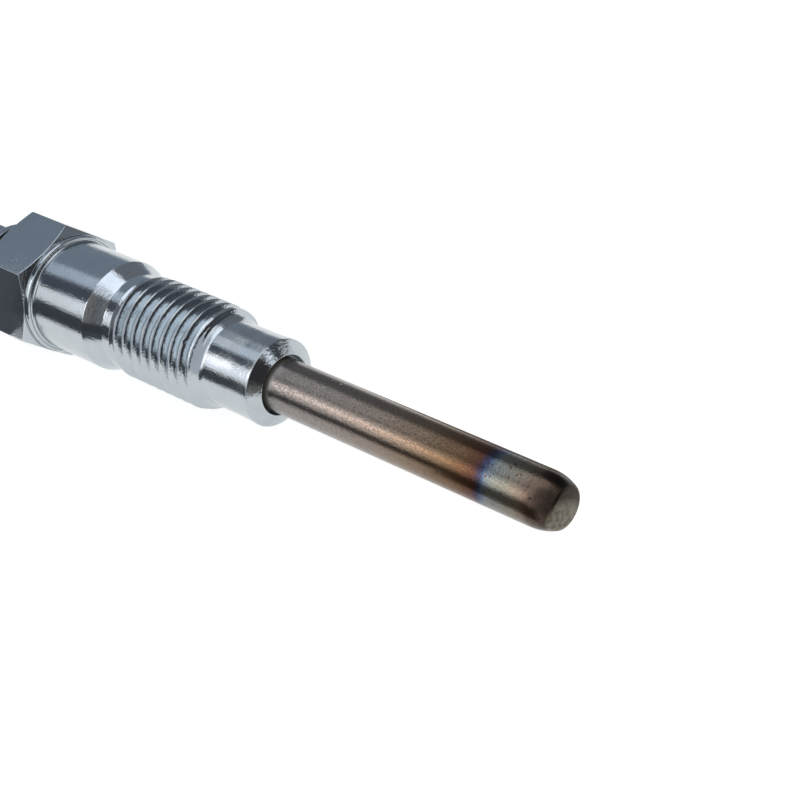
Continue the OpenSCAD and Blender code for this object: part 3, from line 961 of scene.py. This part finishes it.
# %% Far wall and sky
card("grey_wall_low", WALL, (-300, 150, 188), (-32, 150, 188), "#87919e")
card("grey_wall_high", WALL, (-110, 84, 150), (-34, 116, 150), "#87919e")
card("dark_wall_low", WALL, (-32, 128, 188), (10, 128, 188), "#7d8086")
card("dark_wall_by_flanks", WALL, (10, 128, 188), (30, 128, 188), "#4e5259")
card("dark_wall_end", WALL, (30, 128, 178), (60, 128, 178), "#4c4e54")
card("lavender_sky", SKY, (-600, 84, 120), (-262, 84, 120), "#acb7c8")
card("pale_sky", SKY, (-262, 86, 130), (-204, 86, 130), "#e6effc")
card("grey_sky_rear", SKY, (-200, 84, 134), (-160, 84, 132), "#f0eeec")
card("grey_sky_front", SKY, (-160, 84, 132), (-104, 84, 130), "#b4bac2")
card("studio_side", SKY, (-20, 6, 100), (330, 6, 100), "#ccd0d8")
print("cards so far:", len(cards))

# %% [markdown]
# One long lamp over the camera draws the bright line along body and rod. Its tone changes along the way,
# so it is four cards end to end. Two more light the flanks of the thread, which look forward and up.

# %% Lamps
card("main_lamp_rear", SKY, (-240, 33, 54), (-205, 35, 59), "#f4f2ff", 2.2)
card("main_lamp_middle", SKY, (-205, 45, 63), (-156, 43, 60), "#fdf6f5", 3.0)
card("main_lamp_front", SKY, (-156, 43, 60), (-138, 33, 56), "#ffe2c4", 3.4)
card("main_lamp_tip", SKY, (-138, 31, 55), (-108, 29, 53), "#fff6ea", 3.1)
card("thread_lamp_near", SKY, (-108, 27, 80), (-46, 27, 80), "#f2f8ff", 1.7)
card("thread_lamp_far", SKY, (-108, 80, 131), (25, 86, 127), "#f2f6ff", 1.7)
print("cards so far:", len(cards))

# %% [markdown]
# The sealing cone looks forward, so it mirrors what stands past the tip: a dark end wall, a lower one
# nearer by, and a small light that gives the cone its fleck. Two boards near the sheet darken the
# underside of the hexagon and the rod's upper edge, which would mirror white paper.

# %% End walls, fleck and boards
floor = floor_z / MM
wall_x, wall_half, wall_foot, wall_top = 330, 300, 28, 300
low_x, low_near, low_far, low_near_top, low_far_top = 46, -40, 8, 7, 11
hex_board_foot, hex_board_top = floor + 0.02, 2
rod_board = floor + 0.1
end_wall = [(-wall_half, wall_foot), (wall_half, wall_foot), (wall_half, wall_top), (-wall_half, wall_top)]
low_wall = [(low_near, floor), (low_far, floor), (low_far, low_far_top), (low_near, low_near_top)]
fleck = [(13.5, 11.5), (26, 10), (27, 13.5), (14.5, 15)]
under_hexagon = [
    (-48, -5.4, hex_board_foot), (-32.5, -5.4, hex_board_foot), (-32.5, -9.6, hex_board_top),
    (-48, -9.6, hex_board_top),
]
behind_rod = [(-2.8, 3.5, rod_board), (32, 3.5, rod_board), (17.4, 26.6, rod_board), (16.2, 26.6, rod_board)]
hang("end_wall", [(wall_x, y, z) for y, z in end_wall], "#3c3a3c")
hang("low_end_wall", [(low_x, y, z) for y, z in low_wall], "#3c3a3c")
hang("dark_under_hexagon", under_hexagon, "#595b61")
hang("dark_board_behind_rod", behind_rod, "#7e7a74")
hang("seat_light", [(low_x, y, z) for y, z in fleck], "#f4f8ff", 2.4)
print("cards in all:", len(cards))
